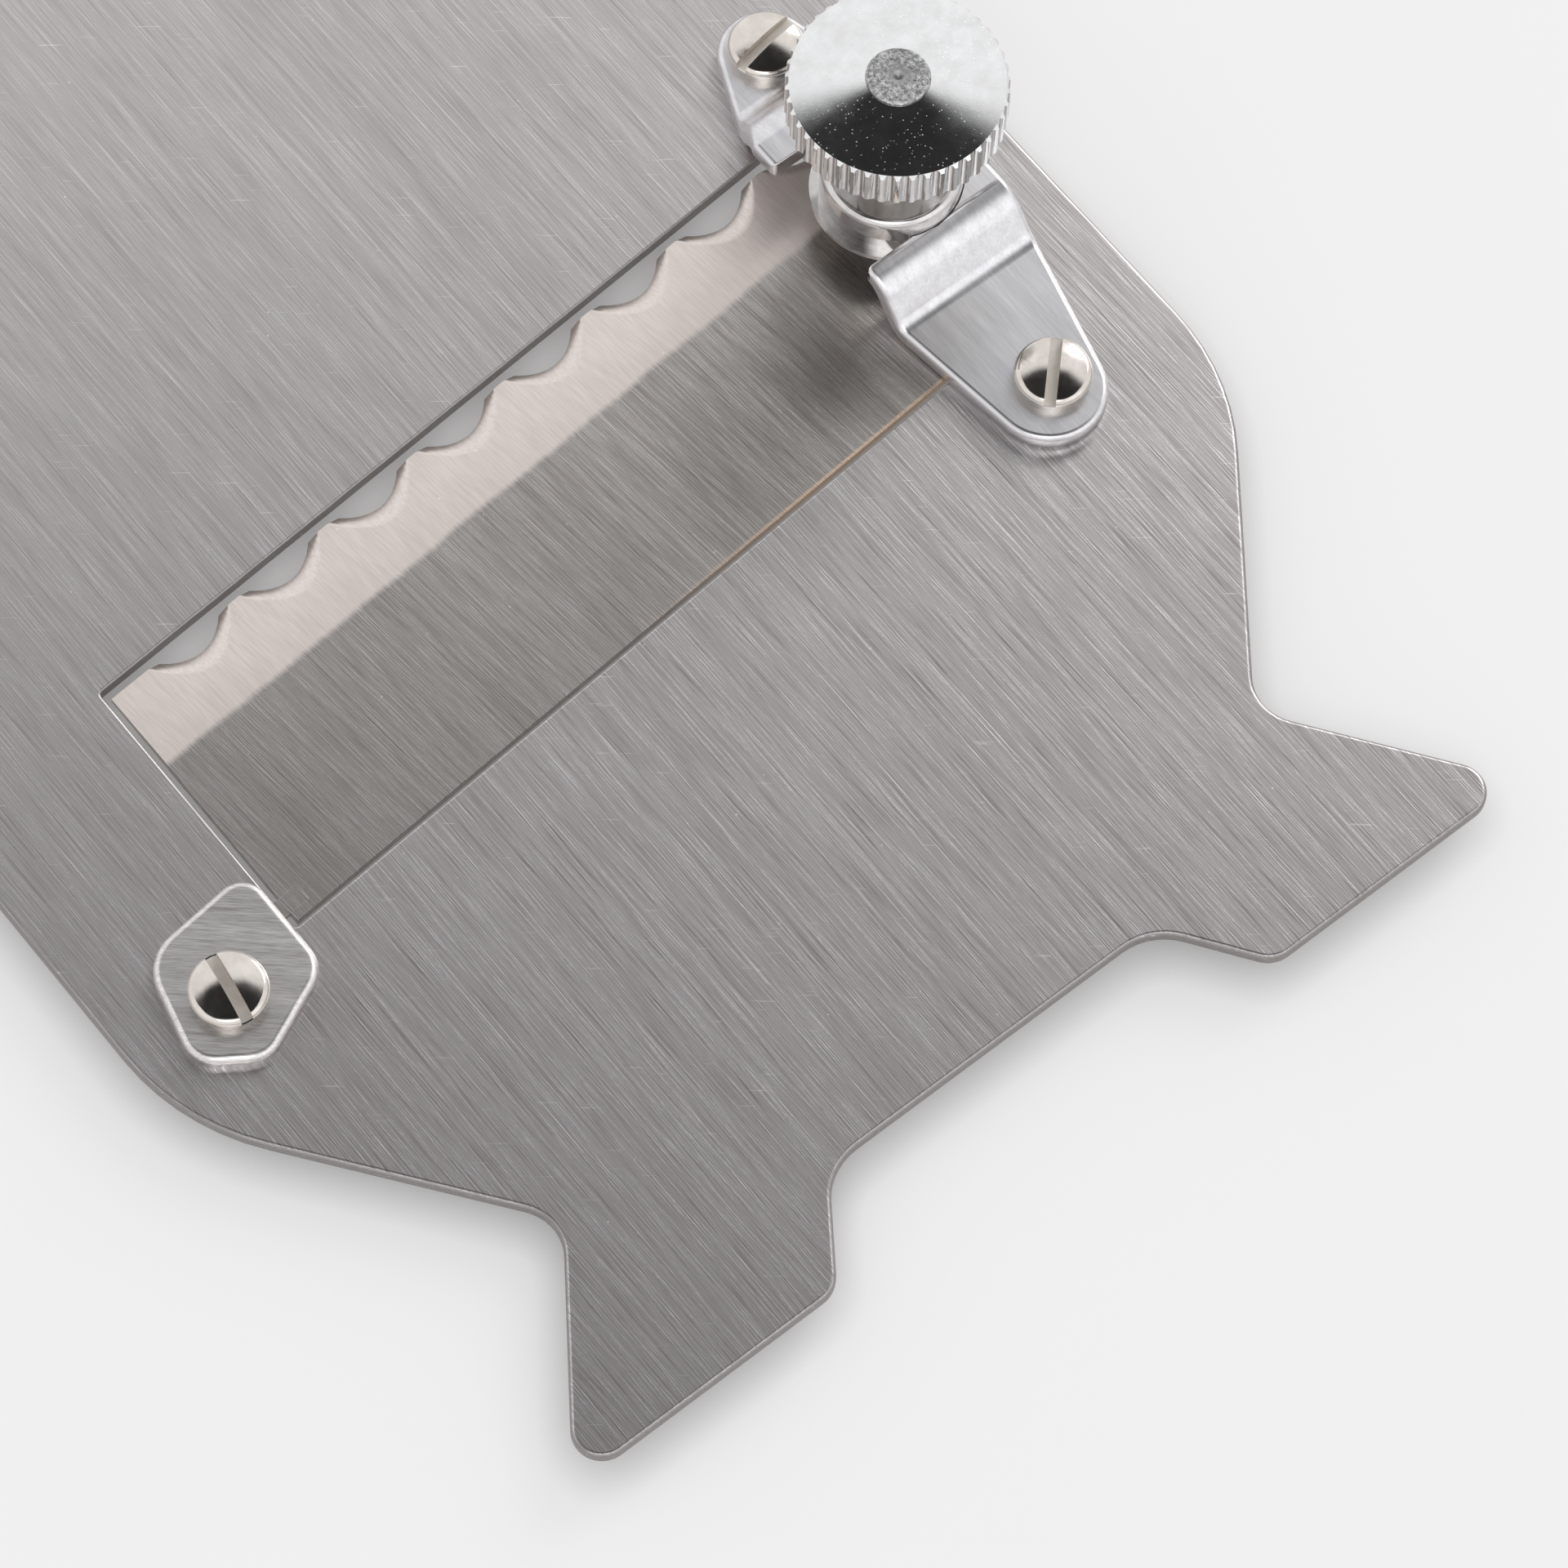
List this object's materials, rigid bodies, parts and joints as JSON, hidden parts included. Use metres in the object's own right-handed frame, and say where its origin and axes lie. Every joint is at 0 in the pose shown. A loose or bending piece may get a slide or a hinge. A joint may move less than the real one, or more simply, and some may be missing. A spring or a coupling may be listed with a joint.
{
  "type": "truffle slicer",
  "caption": "Flat steel hand slicer with a tilting scalloped blade in a skewed slot, a thumbscrew on a bridge to set the slice, splayed feet and a handle.",
  "frame": {"origin": "middle of the plate's outline on its flat underside", "axes": "+X across the plate towards the side with the bridge, +Y from the feet to the handle, +Z out of the face that carries the bridge and thumbscrew"},
  "size_m": [0.08, 0.184, 0.017],
  "materials": {
    "plate_steel": "brushed",
    "blade_steel": "brushed",
    "clip_steel": "brushed",
    "screw_metal": "polished",
    "bridge_steel": "brushed",
    "bush_metal": "polished",
    "knob_chrome": "polished",
    "stem_steel": "satin",
    "foot_steel": "satin"
  },
  "bodies": {
    "plate": {"base_plate": "plate_steel", "blade_clip": "clip_steel", "clip_screw": "screw_metal", "bridge": "bridge_steel", "bridge_rear_screw": "screw_metal", "bridge_front_screw": "screw_metal", "threaded_bush": "bush_metal"},
    "blade": {"blade": "blade_steel"},
    "foot": {"pressure_foot": "foot_steel"},
    "thumbscrew": {"knob": "knob_chrome", "stem": "stem_steel"}
  },
  "joints": [
    {"name": "screw_feed", "type": "slide", "parent": "plate", "child": "foot", "axis": [0, 0, 1], "range_m": [-0.0014, 0]},
    {"name": "knob_turn", "type": "hinge", "parent": "foot", "child": "thumbscrew", "pos_m": [0.0306, -0.0387, 0.01], "axis": [0, 0, 1], "range_deg": [-720, 0]},
    {"name": "blade_tilt", "type": "hinge", "parent": "plate", "child": "blade", "pos_m": [0.00388, -0.05063, 0.00068], "axis": [0.9964, 0.0849, 0], "range_deg": [-8.6, 0]}
  ],
  "couplings": [
    {"joint": "screw_feed", "follows": "knob_turn", "m_per_rad": 0.00011141},
    {"joint": "blade_tilt", "follows": "knob_turn", "ratio": 0.011944}
  ]
}
